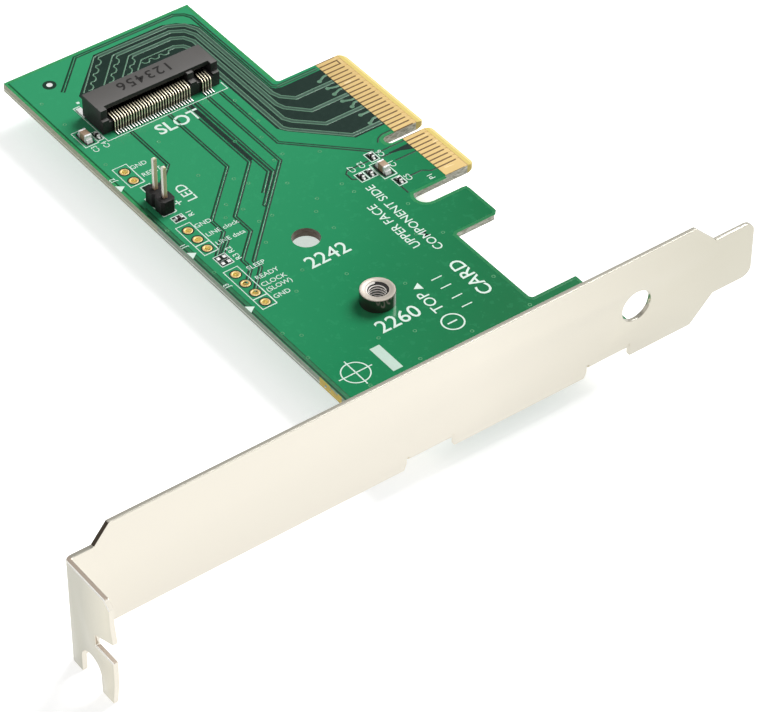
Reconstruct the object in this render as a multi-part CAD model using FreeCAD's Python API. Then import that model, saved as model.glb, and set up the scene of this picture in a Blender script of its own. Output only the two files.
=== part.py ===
import FreeCAD, Part
import math
import os
os.makedirs("parts", exist_ok=True)

V = FreeCAD.Vector

# Adapter card that carries a solid-state module: a short board with a four-lane edge
# connector, a 67-contact socket, and a full-height slot bracket. Millimetres. The origin
# is the middle of the key notch on the insertion edge, at the board's solder side.
# +X runs along the card away from the bracket, +Y away from the insertion edge, and +Z
# out of the component side.

# ---- circuit board ----
board_thickness = 1.57
board_start_x = -56.66
board_end_x = 47.4
board_top_y = 48.0
far_shoulder_y = 12.95
shoulder_corner_r = 0.6
long_run_end_x = 22.1
key_notch_width = 1.9
key_notch_top_y = 8.25
short_run_end_x = -12.2
lock_slot_width = 3.7
lock_slot_top_y = 12.75
hook_width = 7.6
hook_tip_y = 4.55
hook_corner_r = 0.8
relief_width = 18.85
relief_top_y = 12.85
relief_corner_r = 0.7
foot_low_y = 4.4
insertion_corner_r = 1.1
key_corner_r = 0.6
bevel_run = 1.35
bevel_rise = 0.45
overrun = 1.0                     # how far a cutting shape passes the face it cuts

# ---- edge contacts ----
edge_pitch = 1.0
edge_contact_width = 0.7
edge_contact_thickness = 0.05
edge_contact_low_y = 1.45
edge_contact_high_y = 5.65
long_run_contacts = 21
short_run_contacts = 9
short_contact_low_y = 2.35
short_contact_from_end = 2         # the short contact is the last but one
joined_contact_width = 2.0
joined_contact_set_back = 0.25

# ---- module seat: the socket stop and the holes for 42, 60 and 80 mm modules ----
module_axis_y = 31.5
module_stop_x = 30.5
module_lengths = (42.0, 60.0, 80.0)
module_hole_r = 2.25
m3_core_r = 1.25
thread_gap = 0.05

# ---- standoff in the 60 mm hole and the screw that holds it from below ----
standoff_r = 2.75
standoff_height = 2.4
standoff_spigot_gap = 0.1
standoff_spigot_length = 1.45
standoff_chamfer = 0.3
low_screw_head_r = 3.0
low_screw_head_height = 1.1
low_screw_length = 1.3

# ---- socket contacts: a long group, the missing places of the key, a short last group ----
contact_pitch = 0.5
contact_width = 0.22
contact_thickness = 0.2
long_group_contacts = 29
missing_contacts = 4
front_last_contacts = 4
rear_last_contacts = 5
last_group_start = long_group_contacts + missing_contacts
long_places = list(range(long_group_contacts))
front_places = long_places + list(range(last_group_start, last_group_start + front_last_contacts))
rear_places = long_places + list(range(last_group_start, last_group_start + rear_last_contacts))
contact_row_half = contact_pitch * rear_places[-1] / 2
front_foot_x = 25.75
front_riser_x = 26.67
front_shoulder_height = 2.4
front_crest_x = 29.6
front_crest_height = 2.78
front_tip_x = 30.2
front_tip_drop = 0.25
rear_foot_x = 35.05
rear_riser_x = 32.65
rear_shoulder_height = 3.18
rear_crest_x = 29.75
rear_crest_drop = 0.13
rear_tip_x = 29.2
contact_shoulder = 0.35

# ---- socket housing ----
housing_end_margin = 1.7
housing_half_length = contact_row_half + housing_end_margin
housing_front_x = 27.1
housing_back_x = 33.0
housing_height = 4.2
pillar_width = 1.2
pillar_step_x = 0.55
pillar_step_height = 2.5
roof_front_x = 28.6
roof_thickness = 0.82
base_height = 2.03
stop_wall_x = 0.2
stop_wall_back_x = 32.25
stop_wall_height = 2.75
rib_from_row_middle = 0.125
missing_middle = long_group_contacts + missing_contacts / 2
rib_offset_y = contact_row_half - contact_pitch * missing_middle + rib_from_row_middle
rib_width = 1.1
rib_set_back = 0.9
peg_x = 31.0
peg_from_housing_end = 1.45
peg_spacing = 2 * (housing_half_length - peg_from_housing_end)
small_peg_r = 0.5
large_peg_r = 0.75
peg_gap = 0.05
peg_length = 1.2

# ---- hold-down tabs at both ends of the socket ----
tab_start_x = 32.45
tab_end_x = 34.9
tab_width = 0.95
tab_past_housing = 0.13
tab_thickness = 0.25
tab_gap = 0.05

# ---- header holes and the two-pin header ----
header_pitch = 2.54
header_row_from_top = 3.12
four_way_x = -12.17
three_way_x = 0.36
two_way_x = 17.64
lamp_row_x = 9.02
header_hole_r = 0.5
pin_width = 0.64
pin_fit = 0.01
pin_low_z = -1.4
pin_high_z = 10.0
pin_point = 0.15
block_width = 2.54
block_height = 2.54
block_corner = 0.45
joint_height = 0.8
joint_tip_r = 0.5
joint_foot_r = 0.75

# ---- chip parts: (centre x, centre y); two of them stand beside the socket ----
socket_end_y = module_axis_y + housing_half_length
small_chip_from_socket = 0.95
large_chip_from_socket = 2.75
large_chip_centres = ((-5.35, 12.52), (28.15, socket_end_y + large_chip_from_socket))
large_chip_length = 2.0
large_chip_width = 1.25
large_chip_height = 1.25
large_chip_cap = 0.4
small_chip_centres = ((-8.97, 12.1), (-1.82, 12.1), (-4.9, 16.25), (-4.9, 14.65),
                      (27.55, socket_end_y + small_chip_from_socket))
small_chip_length = 1.0
small_chip_width = 0.5
small_chip_height = 0.5
small_chip_cap = 0.25
resistor_centre = (3.57, board_top_y - 3.57)
resistor_length = 1.0
resistor_width = 0.5
resistor_height = 0.35
resistor_cap = 0.22
chip_body_inset = 0.03
upright_pad_xs = (-9.02, -7.75)
upright_pads_from_top = (3.05, 4.1)
level_pad_xs = (12.2, 11.15)
level_pads_from_top = 4.2
bare_pad_centres = [(x, board_top_y - down) for x in upright_pad_xs for down in upright_pads_from_top]
bare_pad_centres += [(x, board_top_y - level_pads_from_top) for x in level_pad_xs]
bare_pad_width = 0.6
bare_pad_length = 0.55
bare_pad_thickness = 0.08
target_from_end = 4.67
target_from_top = 5.61
target_centre = (board_end_x - target_from_end, board_top_y - target_from_top)
target_r = 0.5
target_thickness = 0.04

# ---- slot bracket ----
bracket_thickness = 0.86
board_to_plate_gap = 0.3
plate_low_z = -2.03
plate_width = 18.42
tongue_width = 10.19
tongue_tip_y = -16.37
tongue_corner_r = 1.8
shoulder_y = -4.9
round_hole_y = 5.75
round_hole_r = 2.65
top_chamfer_y = 96.7
top_chamfer_run = 2.55
top_step = 3.09
low_flare_y = 97.5
tab_face_y = 103.65
tab_low_z = -5.75
tab_reach = 11.0
tab_corner = 1.12
tab_flare = 0.5
tab_flare_start = 9.3
wedge_depth = 4.6
wedge_low_z = 2.35
wedge_high_z = 4.36
wedge_mouth_z = 6.17
lower_arm_inset = 0.3
screw_notch_from_plate = 2.3
screw_notch_width = 4.8
screw_notch_top_z = -0.5
bend_inner_r = 0.3
low_lug_start_y = 7.0
low_lug_width = 7.2
high_lug_start_y = 39.2
high_lug_width = 7.6
lug_reach = 8.5
lug_side_relief = 0.4
lug_notch_slope = 0.45

# ---- screws that hold the board on the bracket's two lugs ----
board_screw_from_plate = 4.5
board_screw_hole_r = 1.6
board_screw_head_r = 2.7
board_screw_head_height = 1.8
board_screw_length = 3.0
head_bevel = 0.5
recess_width = 0.6
recess_span = 2.8
recess_depth = 1.0


AXES = {
    "x": (V(0, 1, 0), V(0, 0, 1), V(1, 0, 0)),
    "y": (V(0, 0, 1), V(1, 0, 0), V(0, 1, 0)),
    "z": (V(1, 0, 0), V(0, 1, 0), V(0, 0, 1)),
}


def box(x0, x1, y0, y1, z0, z1):
    return Part.makeBox(x1 - x0, y1 - y0, z1 - z0, V(x0, y0, z0))


def rod(x, y, z0, z1, radius):
    return Part.makeCylinder(radius, z1 - z0, V(x, y, z0))


def corner_points(before, here, after, radius):
    """Where an arc of this radius leaves and meets the two sides at a corner."""
    back = (before - here).normalize()
    ahead = (after - here).normalize()
    half = back.getAngle(ahead) / 2
    run = radius / math.tan(half)
    middle = (back + ahead).normalize()
    reach = radius / math.sin(half) - radius
    return here + back * run, here + middle * reach, here + ahead * run


def prism(corners, axis, low, high):
    """Solid along an axis; each corner is (across, up) or (across, up, corner radius)."""
    across, up, along = AXES[axis]
    points = [across * c[0] + up * c[1] + along * low for c in corners]
    radii = [c[2] if len(c) > 2 else 0 for c in corners]
    count = len(corners)
    ends = []
    edges = []
    for i in range(count):
        if radii[i] == 0:
            ends.append((points[i], points[i]))
        else:
            start, middle, end = corner_points(
                points[i - 1], points[i], points[(i + 1) % count], radii[i])
            ends.append((start, end))
            edges.append(Part.Arc(start, middle, end).toShape())
    for i in range(count):
        start = ends[i][1]
        end = ends[(i + 1) % count][0]
        if start.distanceToPoint(end) > 1e-6:
            edges.append(Part.makeLine(start, end))
    wire = Part.Wire(Part.__sortEdges__(edges))
    return Part.Face(wire).extrude(along * (high - low))


def save(name, pieces):
    """Write one node: a single solid, or a group of separate ones."""
    shape = pieces[0] if len(pieces) == 1 else Part.makeCompound(pieces)
    shape.exportStep("parts/" + name + ".step")


top_z = board_thickness
header_y = board_top_y - header_row_from_top
plate_inner_x = board_start_x - board_to_plate_gap
plate_outer_x = plate_inner_x - bracket_thickness
board_screw_x = plate_inner_x + board_screw_from_plate
low_screw_y = low_lug_start_y + low_lug_width / 2
high_screw_y = high_lug_start_y + high_lug_width / 2
board_screw_ys = (low_screw_y, high_screw_y)
module_hole_xs = [module_stop_x - length for length in module_lengths]
standoff_x = module_hole_xs[1]


def header_row(first_x, count):
    return [(first_x - header_pitch * i, header_y) for i in range(count)]


pin_places = header_row(lamp_row_x, 2)
header_holes = header_row(four_way_x, 4) + header_row(three_way_x, 3)
header_holes += header_row(two_way_x, 2) + pin_places


# ---- circuit board ----
def make_board():
    notch_half = key_notch_width / 2
    slot_half = lock_slot_width / 2
    hook_end_x = short_run_end_x - lock_slot_width
    hook_start_x = hook_end_x - hook_width
    foot_end_x = hook_start_x - relief_width
    corners = [
        (board_start_x, foot_low_y),
        (foot_end_x, foot_low_y),
        (foot_end_x, relief_top_y, relief_corner_r),
        (hook_start_x, relief_top_y, relief_corner_r),
        (hook_start_x, hook_tip_y, hook_corner_r),
        (hook_end_x, hook_tip_y, hook_corner_r),
        (hook_end_x, lock_slot_top_y, slot_half),
        (short_run_end_x, lock_slot_top_y, slot_half),
        (short_run_end_x, 0, insertion_corner_r),
        (-notch_half, 0, key_corner_r),
        (-notch_half, key_notch_top_y, notch_half),
        (notch_half, key_notch_top_y, notch_half),
        (notch_half, 0, key_corner_r),
        (long_run_end_x, 0, insertion_corner_r),
        (long_run_end_x, far_shoulder_y, shoulder_corner_r),
        (board_end_x, far_shoulder_y),
        (board_end_x, board_top_y),
        (board_start_x, board_top_y),
    ]
    board = prism(corners, "z", 0, top_z)
    lead_in = bevel_rise / bevel_run * overrun
    upper = [(bevel_run, top_z), (bevel_run, top_z + overrun), (-overrun, top_z + overrun),
             (-overrun, top_z - bevel_rise - lead_in)]
    lower = [(y, top_z - z) for y, z in reversed(upper)]
    first_x = short_run_end_x - overrun
    last_x = long_run_end_x + overrun
    cuts = [prism(upper, "x", first_x, last_x), prism(lower, "x", first_x, last_x)]
    low = -overrun
    high = top_z + overrun
    for x in module_hole_xs:
        cuts.append(rod(x, module_axis_y, low, high, module_hole_r))
    for x, y in header_holes:
        cuts.append(rod(x, y, low, high, header_hole_r))
    for y in board_screw_ys:
        cuts.append(rod(board_screw_x, y, low, high, board_screw_hole_r))
    half = peg_spacing / 2
    cuts.append(rod(peg_x, module_axis_y + half, low, high, small_peg_r + peg_gap))
    cuts.append(rod(peg_x, module_axis_y - half, low, high, large_peg_r + peg_gap))
    return board.cut(cuts)


# ---- edge contacts ----
def make_edge_contacts(z0, first_is_short):
    z1 = z0 + edge_contact_thickness
    half = edge_contact_width / 2
    contacts = []
    for i in range(long_run_contacts):
        x = edge_pitch * (i + 1.5)
        short = i == long_run_contacts - short_contact_from_end
        low_y = short_contact_low_y if short and first_is_short else edge_contact_low_y
        contacts.append(box(x - half, x + half, low_y, edge_contact_high_y, z0, z1))
    for i in range(short_run_contacts):
        x = -edge_pitch * (i + 1.5)
        contacts.append(
            box(x - half, x + half, edge_contact_low_y, edge_contact_high_y, z0, z1))
    end_x = -edge_pitch * (short_run_contacts + 1) - (edge_pitch - edge_contact_width) / 2
    contacts.append(
        box(end_x - joined_contact_width, end_x, edge_contact_low_y + joined_contact_set_back,
            edge_contact_high_y, z0, z1))
    return contacts


# ---- standoff and its screw ----
def make_standoff():
    spigot_r = module_hole_r - standoff_spigot_gap
    high = top_z + standoff_height
    low = top_z - standoff_spigot_length
    post = rod(standoff_x, module_axis_y, top_z, high, standoff_r)
    post = post.fuse(rod(standoff_x, module_axis_y, low, top_z, spigot_r)).removeSplitter()
    post = post.cut(rod(standoff_x, module_axis_y, low - overrun, high + overrun, m3_core_r))
    mouth = Part.makeCone(m3_core_r, m3_core_r + standoff_chamfer, standoff_chamfer,
                          V(standoff_x, module_axis_y, high - standoff_chamfer))
    return post.cut(mouth)


def cross_recess(x, y, low, high):
    half = recess_span / 2
    thin = recess_width / 2
    bar = box(x - half, x + half, y - thin, y + thin, low, high)
    return bar.fuse(box(x - thin, x + thin, y - half, y + half, low, high))


def make_standoff_screw():
    y = module_axis_y
    head = rod(standoff_x, y, -low_screw_head_height, 0, low_screw_head_r)
    shank = rod(standoff_x, y, 0, low_screw_length, m3_core_r - thread_gap)
    recess_top = recess_depth / 2 - low_screw_head_height
    recess = cross_recess(standoff_x, y, -low_screw_head_height - overrun, recess_top)
    return head.fuse(shank).removeSplitter().cut(recess)


# ---- socket ----
def make_housing():
    low_y = module_axis_y - housing_half_length
    high_y = module_axis_y + housing_half_length
    roof_z = top_z + housing_height
    roof_low_z = roof_z - roof_thickness
    base_z = top_z + base_height
    step_x = housing_front_x + pillar_step_x
    step_z = top_z + pillar_step_height
    stop_x = module_stop_x + stop_wall_x
    base = box(housing_front_x, stop_wall_back_x, low_y, high_y, top_z, base_z)
    stop = box(stop_x, stop_wall_back_x, low_y, high_y, top_z, top_z + stop_wall_height)
    roof = box(roof_front_x, housing_back_x, low_y, high_y, roof_low_z, roof_z)
    pillar_side = [(top_z, housing_front_x), (step_z, housing_front_x), (step_z, step_x),
                   (roof_z, step_x), (roof_z, housing_back_x), (top_z, housing_back_x)]
    low_pillar = prism(pillar_side, "y", low_y, low_y + pillar_width)
    high_pillar = prism(pillar_side, "y", high_y - pillar_width, high_y)
    rib_y = module_axis_y + rib_offset_y
    rib_low = rib_y - rib_width / 2
    rib_high = rib_y + rib_width / 2
    rib_x = housing_front_x + rib_set_back
    rib_foot = box(housing_front_x, stop_x, rib_low, rib_high, top_z, step_z)
    rib = box(rib_x, stop_wall_back_x, rib_low, rib_high, top_z, roof_z - roof_thickness / 2)
    half = peg_spacing / 2
    low_peg_z = top_z - peg_length
    small_peg = rod(peg_x, module_axis_y + half, low_peg_z, base_z, small_peg_r)
    large_peg = rod(peg_x, module_axis_y - half, low_peg_z, base_z, large_peg_r)
    housing = base.fuse([stop, roof, low_pillar, high_pillar, rib_foot, rib, small_peg,
                         large_peg])
    inner = housing_half_length + tab_past_housing - tab_width - tab_gap
    relief_x = tab_start_x - tab_gap
    relief_z = top_z + tab_thickness + tab_gap
    for side in (-1, 1):
        near = module_axis_y + side * inner
        far = module_axis_y + side * (housing_half_length + overrun)
        housing = housing.cut(box(relief_x, housing_back_x + overrun, min(near, far),
                                  max(near, far), top_z - overrun, relief_z))
    return housing.removeSplitter()


def contact_steps(places):
    """Middle of each contact, from the +Y end of a row centred on the module."""
    first = module_axis_y + contact_pitch * places[-1] / 2
    return [first - contact_pitch * place for place in places]


def make_front_contacts():
    t = contact_thickness
    shoulder_z = top_z + front_shoulder_height
    crest_z = top_z + front_crest_height
    tip_z = crest_z - front_tip_drop
    side = [
        (top_z, front_foot_x),
        (top_z, front_riser_x + t),
        (shoulder_z - t, front_riser_x + t),
        (crest_z - t, front_crest_x),
        (tip_z - t, front_tip_x),
        (tip_z, front_tip_x),
        (crest_z, front_crest_x),
        (shoulder_z, front_riser_x + contact_shoulder),
        (shoulder_z - contact_shoulder, front_riser_x),
        (top_z + t, front_riser_x),
        (top_z + t, front_foot_x),
    ]
    half = contact_width / 2
    steps = contact_steps(front_places)
    return [prism(side, "y", y - half, y + half) for y in steps]


def make_rear_contacts():
    t = contact_thickness
    shoulder_z = top_z + rear_shoulder_height
    crest_z = shoulder_z - rear_crest_drop
    side = [
        (top_z, rear_foot_x),
        (top_z + t, rear_foot_x),
        (top_z + t, rear_riser_x),
        (shoulder_z - contact_shoulder, rear_riser_x),
        (shoulder_z, rear_riser_x - contact_shoulder),
        (crest_z, rear_crest_x),
        (shoulder_z, rear_tip_x),
        (shoulder_z - t, rear_tip_x),
        (crest_z - t, rear_crest_x),
        (shoulder_z - t, rear_riser_x - t),
        (top_z, rear_riser_x - t),
    ]
    half = contact_width / 2
    steps = contact_steps(rear_places)
    return [prism(side, "y", y - half, y + half) for y in steps]


def make_hold_downs():
    tabs = []
    outer = housing_half_length + tab_past_housing
    for side in (-1, 1):
        y0 = module_axis_y + side * outer
        y1 = module_axis_y + side * (outer - tab_width)
        tabs.append(box(tab_start_x, tab_end_x, min(y0, y1), max(y0, y1), top_z,
                        top_z + tab_thickness))
    return tabs


# ---- header ----
def make_header_block():
    half = block_width / 2
    low = top_z
    high = low + block_height
    block = None
    for x, y in pin_places:
        left = x - half
        right = x + half
        cell = prism([
            (left + block_corner, y - half), (right - block_corner, y - half),
            (right, y - half + block_corner), (right, y + half - block_corner),
            (right - block_corner, y + half), (left + block_corner, y + half),
            (left, y + half - block_corner), (left, y - half + block_corner),
        ], "z", low, high)
        block = cell if block is None else block.fuse(cell)
    hole = pin_width / 2 + pin_fit
    cuts = [box(x - hole, x + hole, y - hole, y + hole, low - overrun, high + overrun)
            for x, y in pin_places]
    return block.cut(cuts).removeSplitter()


def make_pin(x, y):
    half = pin_width / 2
    tip = half - pin_point
    body = box(x - half, x + half, y - half, y + half, pin_low_z + pin_point,
               pin_high_z - pin_point)
    for z, end_z in ((pin_high_z - pin_point, pin_high_z), (pin_low_z + pin_point, pin_low_z)):
        wide = Part.makePolygon([V(x - half, y - half, z), V(x + half, y - half, z),
                                 V(x + half, y + half, z), V(x - half, y + half, z),
                                 V(x - half, y - half, z)])
        narrow = Part.makePolygon([V(x - tip, y - tip, end_z), V(x + tip, y - tip, end_z),
                                   V(x + tip, y + tip, end_z), V(x - tip, y + tip, end_z),
                                   V(x - tip, y - tip, end_z)])
        body = body.fuse(Part.makeLoft([wide, narrow], True, True))
    return body


def make_solder_joints():
    joints = []
    hole = pin_width / 2 + pin_fit
    for x, y in pin_places:
        cone = Part.makeCone(joint_tip_r, joint_foot_r, joint_height, V(x, y, -joint_height))
        joints.append(cone.cut(box(x - hole, x + hole, y - hole, y + hole,
                                   -joint_height - overrun, overrun)))
    return joints


# ---- chip parts ----
def chip(x, y, length, width, height, cap, along_y):
    """Body and two end caps of a chip part lying on the board."""
    half = length / 2
    side = width / 2
    inset = chip_body_inset
    pieces = []
    for low, high, trim in ((-half + cap, half - cap, inset), (-half, -half + cap, 0),
                            (half - cap, half, 0)):
        if along_y:
            piece = box(x - side + trim, x + side - trim, y + low, y + high, top_z,
                        top_z + height - trim)
        else:
            piece = box(x + low, x + high, y - side + trim, y + side - trim, top_z,
                        top_z + height - trim)
        pieces.append(piece)
    return pieces[0], pieces[1:]


def chip_group(centres, length, width, height, cap, along_y):
    bodies = []
    caps = []
    for x, y in centres:
        body, ends = chip(x, y, length, width, height, cap, along_y)
        bodies.append(body)
        caps += ends
    return bodies, caps


def make_bare_pads():
    half_x = bare_pad_width / 2
    half_y = bare_pad_length / 2
    return [box(x - half_x, x + half_x, y - half_y, y + half_y, top_z,
                top_z + bare_pad_thickness) for x, y in bare_pad_centres]


# ---- bracket ----
def make_bracket():
    plate_high_z = plate_low_z + plate_width
    plate_end_z = plate_high_z - top_step
    shoulder = (plate_width - tongue_width) / 2
    tongue_y = shoulder_y - shoulder
    low_flare = plate_low_z - tab_low_z
    outer_bend = bend_inner_r + bracket_thickness
    plate = prism([
        (shoulder_y, plate_low_z),
        (low_flare_y, plate_low_z),
        (low_flare_y + low_flare, tab_low_z),
        (tab_face_y + overrun, tab_low_z),
        (tab_face_y + overrun, plate_end_z),
        (top_chamfer_y + top_chamfer_run, plate_end_z),
        (top_chamfer_y, plate_high_z),
        (shoulder_y, plate_high_z),
        (tongue_y, plate_high_z - shoulder),
        (tongue_tip_y, plate_high_z - shoulder, tongue_corner_r),
        (tongue_tip_y, plate_low_z + shoulder, tongue_corner_r),
        (tongue_y, plate_low_z + shoulder),
    ], "x", plate_outer_x - overrun, plate_inner_x + overrun)
    tab_end_x = plate_inner_x - tab_reach
    wedge_x = tab_end_x + wedge_depth - tab_flare
    notch_high_x = plate_outer_x - screw_notch_from_plate
    notch_low_x = notch_high_x - screw_notch_width
    notch_r = screw_notch_width / 2
    tab = prism([
        (tab_low_z, plate_inner_x + overrun),
        (tab_low_z, notch_high_x),
        (screw_notch_top_z, notch_high_x, notch_r),
        (screw_notch_top_z, notch_low_x, notch_r),
        (tab_low_z, notch_low_x),
        (tab_low_z, tab_end_x + lower_arm_inset),
        (tab_low_z + (wedge_low_z - tab_low_z) / 2, tab_end_x - tab_flare / 2),
        (wedge_low_z, tab_end_x - tab_flare / 2),
        (wedge_low_z, wedge_x),
        (wedge_high_z, wedge_x),
        (wedge_mouth_z, tab_end_x - tab_flare),
        (tab_flare_start, tab_end_x),
        (plate_end_z - tab_corner, tab_end_x),
        (plate_end_z, tab_end_x + tab_corner),
        (plate_end_z, plate_inner_x + overrun),
    ], "y", tab_face_y - bracket_thickness - overrun, tab_face_y + overrun)
    tab_inner_y = tab_face_y - bracket_thickness
    far_x = tab_end_x - overrun
    sheet = prism([
        (plate_inner_x, tongue_tip_y - overrun),
        (plate_inner_x, tab_face_y, outer_bend),
        (far_x, tab_face_y),
        (far_x, tab_inner_y),
        (plate_outer_x, tab_inner_y, bend_inner_r),
        (plate_outer_x, tongue_tip_y - overrun),
    ], "z", tab_low_z - overrun, plate_high_z + overrun)
    bracket = sheet.common(plate.fuse(tab))
    root_z = bend_inner_r + lug_side_relief
    lug_side = [
        (-bracket_thickness, plate_outer_x, outer_bend),
        (root_z, plate_outer_x),
        (root_z, plate_inner_x),
        (0, plate_inner_x, bend_inner_r),
        (0, plate_inner_x + lug_reach),
        (-bracket_thickness, plate_inner_x + lug_reach),
    ]
    low_x = plate_outer_x - overrun
    high_x = plate_inner_x + overrun
    lugs = ((low_lug_start_y, low_lug_width), (high_lug_start_y, high_lug_width))
    for start_y, width in lugs:
        first = start_y - lug_side_relief
        last = start_y + width + lug_side_relief
        notch = prism([
            (first, plate_low_z - overrun),
            (first, bend_inner_r),
            (last, bend_inner_r),
            (last, -bracket_thickness),
            (last + lug_notch_slope, plate_low_z),
            (last + lug_notch_slope, plate_low_z - overrun),
        ], "x", low_x, high_x)
        lug = prism(lug_side, "y", start_y, start_y + width)
        bracket = bracket.cut(notch).fuse(lug)
    for y in board_screw_ys:
        bracket = bracket.cut(rod(board_screw_x, y, plate_low_z, overrun, m3_core_r))
    round_hole = Part.makeCylinder(round_hole_r, high_x - low_x,
                                  V(low_x, round_hole_y, plate_low_z + plate_width / 2),
                                  V(1, 0, 0))
    return bracket.cut(round_hole).removeSplitter()


def make_board_screw(y):
    x = board_screw_x
    high = top_z + board_screw_head_height
    head = rod(x, y, top_z, high, board_screw_head_r)
    rim = [edge for edge in head.Edges if edge.BoundBox.ZMin > high - head_bevel]
    head = head.makeChamfer(head_bevel, rim)
    shank = rod(x, y, top_z - board_screw_length, top_z, m3_core_r - thread_gap)
    recess = cross_recess(x, y, high - recess_depth, high + overrun)
    return head.fuse(shank).cut(recess)


large_bodies, large_caps = chip_group(
    large_chip_centres, large_chip_length, large_chip_width, large_chip_height,
    large_chip_cap, False)
small_bodies, small_caps = chip_group(
    small_chip_centres, small_chip_length, small_chip_width, small_chip_height,
    small_chip_cap, False)
resistor_body, resistor_caps = chip_group(
    [resistor_centre], resistor_length, resistor_width, resistor_height, resistor_cap, True)

save("circuit_board", [make_board()])
save("edge_contacts_component_side", make_edge_contacts(top_z, True))
save("edge_contacts_solder_side", make_edge_contacts(-edge_contact_thickness, False))
save("bracket", [make_bracket()])
save("board_screws", [make_board_screw(y) for y in board_screw_ys])
save("standoff", [make_standoff()])
save("standoff_screw", [make_standoff_screw()])
save("socket_housing", [make_housing()])
save("socket_front_contacts", make_front_contacts())
save("socket_rear_contacts", make_rear_contacts())
save("socket_hold_downs", make_hold_downs())
save("header_block", [make_header_block()])
save("header_pins", [make_pin(x, y) for x, y in pin_places])
save("header_solder_joints", make_solder_joints())
save("large_capacitor_bodies", large_bodies)
save("large_capacitor_caps", large_caps)
save("small_capacitor_bodies", small_bodies)
save("small_capacitor_caps", small_caps)
save("resistor_body", resistor_body)
save("resistor_caps", resistor_caps)
save("bare_solder_pads", make_bare_pads())
save("alignment_target", [rod(target_centre[0], target_centre[1], top_z,
                              top_z + target_thickness, target_r)])
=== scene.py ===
"""Dresses an expansion card that carries a solid-state module: looks, fine pieces and stage."""

import math
from contextlib import contextmanager
from functools import cache

import bpy
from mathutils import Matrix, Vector


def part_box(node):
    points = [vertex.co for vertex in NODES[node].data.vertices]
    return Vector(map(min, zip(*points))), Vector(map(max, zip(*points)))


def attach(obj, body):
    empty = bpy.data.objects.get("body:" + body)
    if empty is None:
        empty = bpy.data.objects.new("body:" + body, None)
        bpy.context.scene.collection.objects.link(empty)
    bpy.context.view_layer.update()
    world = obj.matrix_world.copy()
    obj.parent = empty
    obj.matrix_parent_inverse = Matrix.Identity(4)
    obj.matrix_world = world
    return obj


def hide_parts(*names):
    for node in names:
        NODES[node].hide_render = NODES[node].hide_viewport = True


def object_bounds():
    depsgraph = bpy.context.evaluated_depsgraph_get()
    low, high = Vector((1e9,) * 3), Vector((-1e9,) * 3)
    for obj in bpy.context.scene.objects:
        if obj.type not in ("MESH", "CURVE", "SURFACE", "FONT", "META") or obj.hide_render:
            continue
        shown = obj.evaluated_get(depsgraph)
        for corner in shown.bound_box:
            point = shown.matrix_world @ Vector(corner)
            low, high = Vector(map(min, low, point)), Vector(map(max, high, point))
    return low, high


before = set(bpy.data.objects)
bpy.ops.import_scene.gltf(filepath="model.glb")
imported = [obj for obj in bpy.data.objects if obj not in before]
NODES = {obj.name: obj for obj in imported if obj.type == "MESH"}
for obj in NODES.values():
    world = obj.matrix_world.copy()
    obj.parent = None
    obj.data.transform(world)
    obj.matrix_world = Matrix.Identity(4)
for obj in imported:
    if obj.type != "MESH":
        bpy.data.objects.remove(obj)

bl_info = {
    "name": "Adapter card",
    "version": (1, 0, 0),
    "blender": (4, 5, 0),
    "location": "3D View > Sidebar > Adapter card",
    "description": "Dresses an adapter card for a solid-state module",
    "category": "Object",
}

MM = 0.001
BOX_AT_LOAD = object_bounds()


def box_of(node):
    """The low and the high corner of a CAD node's box, in millimetres."""
    return [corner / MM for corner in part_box(node)]


def middle_of(node):
    """The middle of a CAD node as seen from above, in millimetres."""
    low, high = box_of(node)
    return (low.x + high.x) / 2, (low.y + high.y) / 2


def tone(red, green, blue):
    """A screen colour of 0 to 255 as the linear colour that shaders take."""
    linear = []
    for part in (red, green, blue):
        share = part / 255
        linear.append(share / 12.92 if share <= 0.04045 else ((share + 0.055) / 1.055) ** 2.4)
    return tuple(linear)


def four(colour):
    return (colour[0], colour[1], colour[2], 1.0)


def shade(colour, factor):
    """The same colour made darker or brighter."""
    return tuple(min(1.0, part * factor) for part in colour[:3])


# ---- places, in millimetres ----

TOP = box_of("circuit_board")[1].z
BACK = box_of("circuit_board")[1].y
BEVEL_DEPTH = 1.5
TONGUE_DEPTH = 5.65  # of the part that goes into the slot, with its contacts
TONGUE_LEFT, TONGUE_RIGHT = -12.4, 22.3
RIM_BAND_END = 8.5
MODULE_HOLE = (-11.5, 31.5)  # the free one of the two that the bracket doesn't hide
STANDOFF = middle_of("standoff")
STANDOFF_TOP = box_of("standoff")[1].z
BRACKET_END = box_of("bracket")[1].y


# ---- sizes and colours ----


def length(name, description, millimetres):
    return bpy.props.FloatProperty(name=name, description=description, default=millimetres * MM,
                                   min=0.0, precision=5, unit="LENGTH")


def colour(name, description, default):
    return bpy.props.FloatVectorProperty(name=name, description=description, default=default,
                                         subtype="COLOR", size=3, min=0.0, max=1.0)


class CardBoardLooks(bpy.types.PropertyGroup):
    mask: colour("Solder mask", "Green mask over copper", tone(6, 127, 78))
    # the far mask is the paler green of painted sheen towards the far end, and the pale tint of
    # clouds and threads
    mask_far: colour("Far mask", "Green mask at the far end, where it is paler",
                     tone(50, 151, 103))
    mask_bare: colour("Bare mask", "Green mask where there is no copper", tone(30, 50, 43))
    bed: colour("Trace bed", "Mask between two paired traces", tone(60, 86, 74))
    border: colour("Border", "Mask along the edges, outside the copper", tone(50, 146, 88))
    trace: colour("Trace", "Mask over a raised trace", tone(92, 134, 108))
    gap: colour("Gap", "Mask in the gap beside a trace", tone(4, 48, 31))
    laminate: colour("Laminate", "Bare laminate on the bevel", tone(210, 188, 104))
    printing: colour("Printing", "White legend printing", tone(220, 238, 228))
    panel: colour("Panel", "Thinner printing of the blank panel", tone(188, 212, 198))
    trace_width: length("Trace width", "Width of a trace", 0.26)
    gap_width: length("Gap width", "Width of a trace with its gaps", 0.78)
    line_width: length("Line width", "Width of the printed lines", 0.22)


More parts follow.
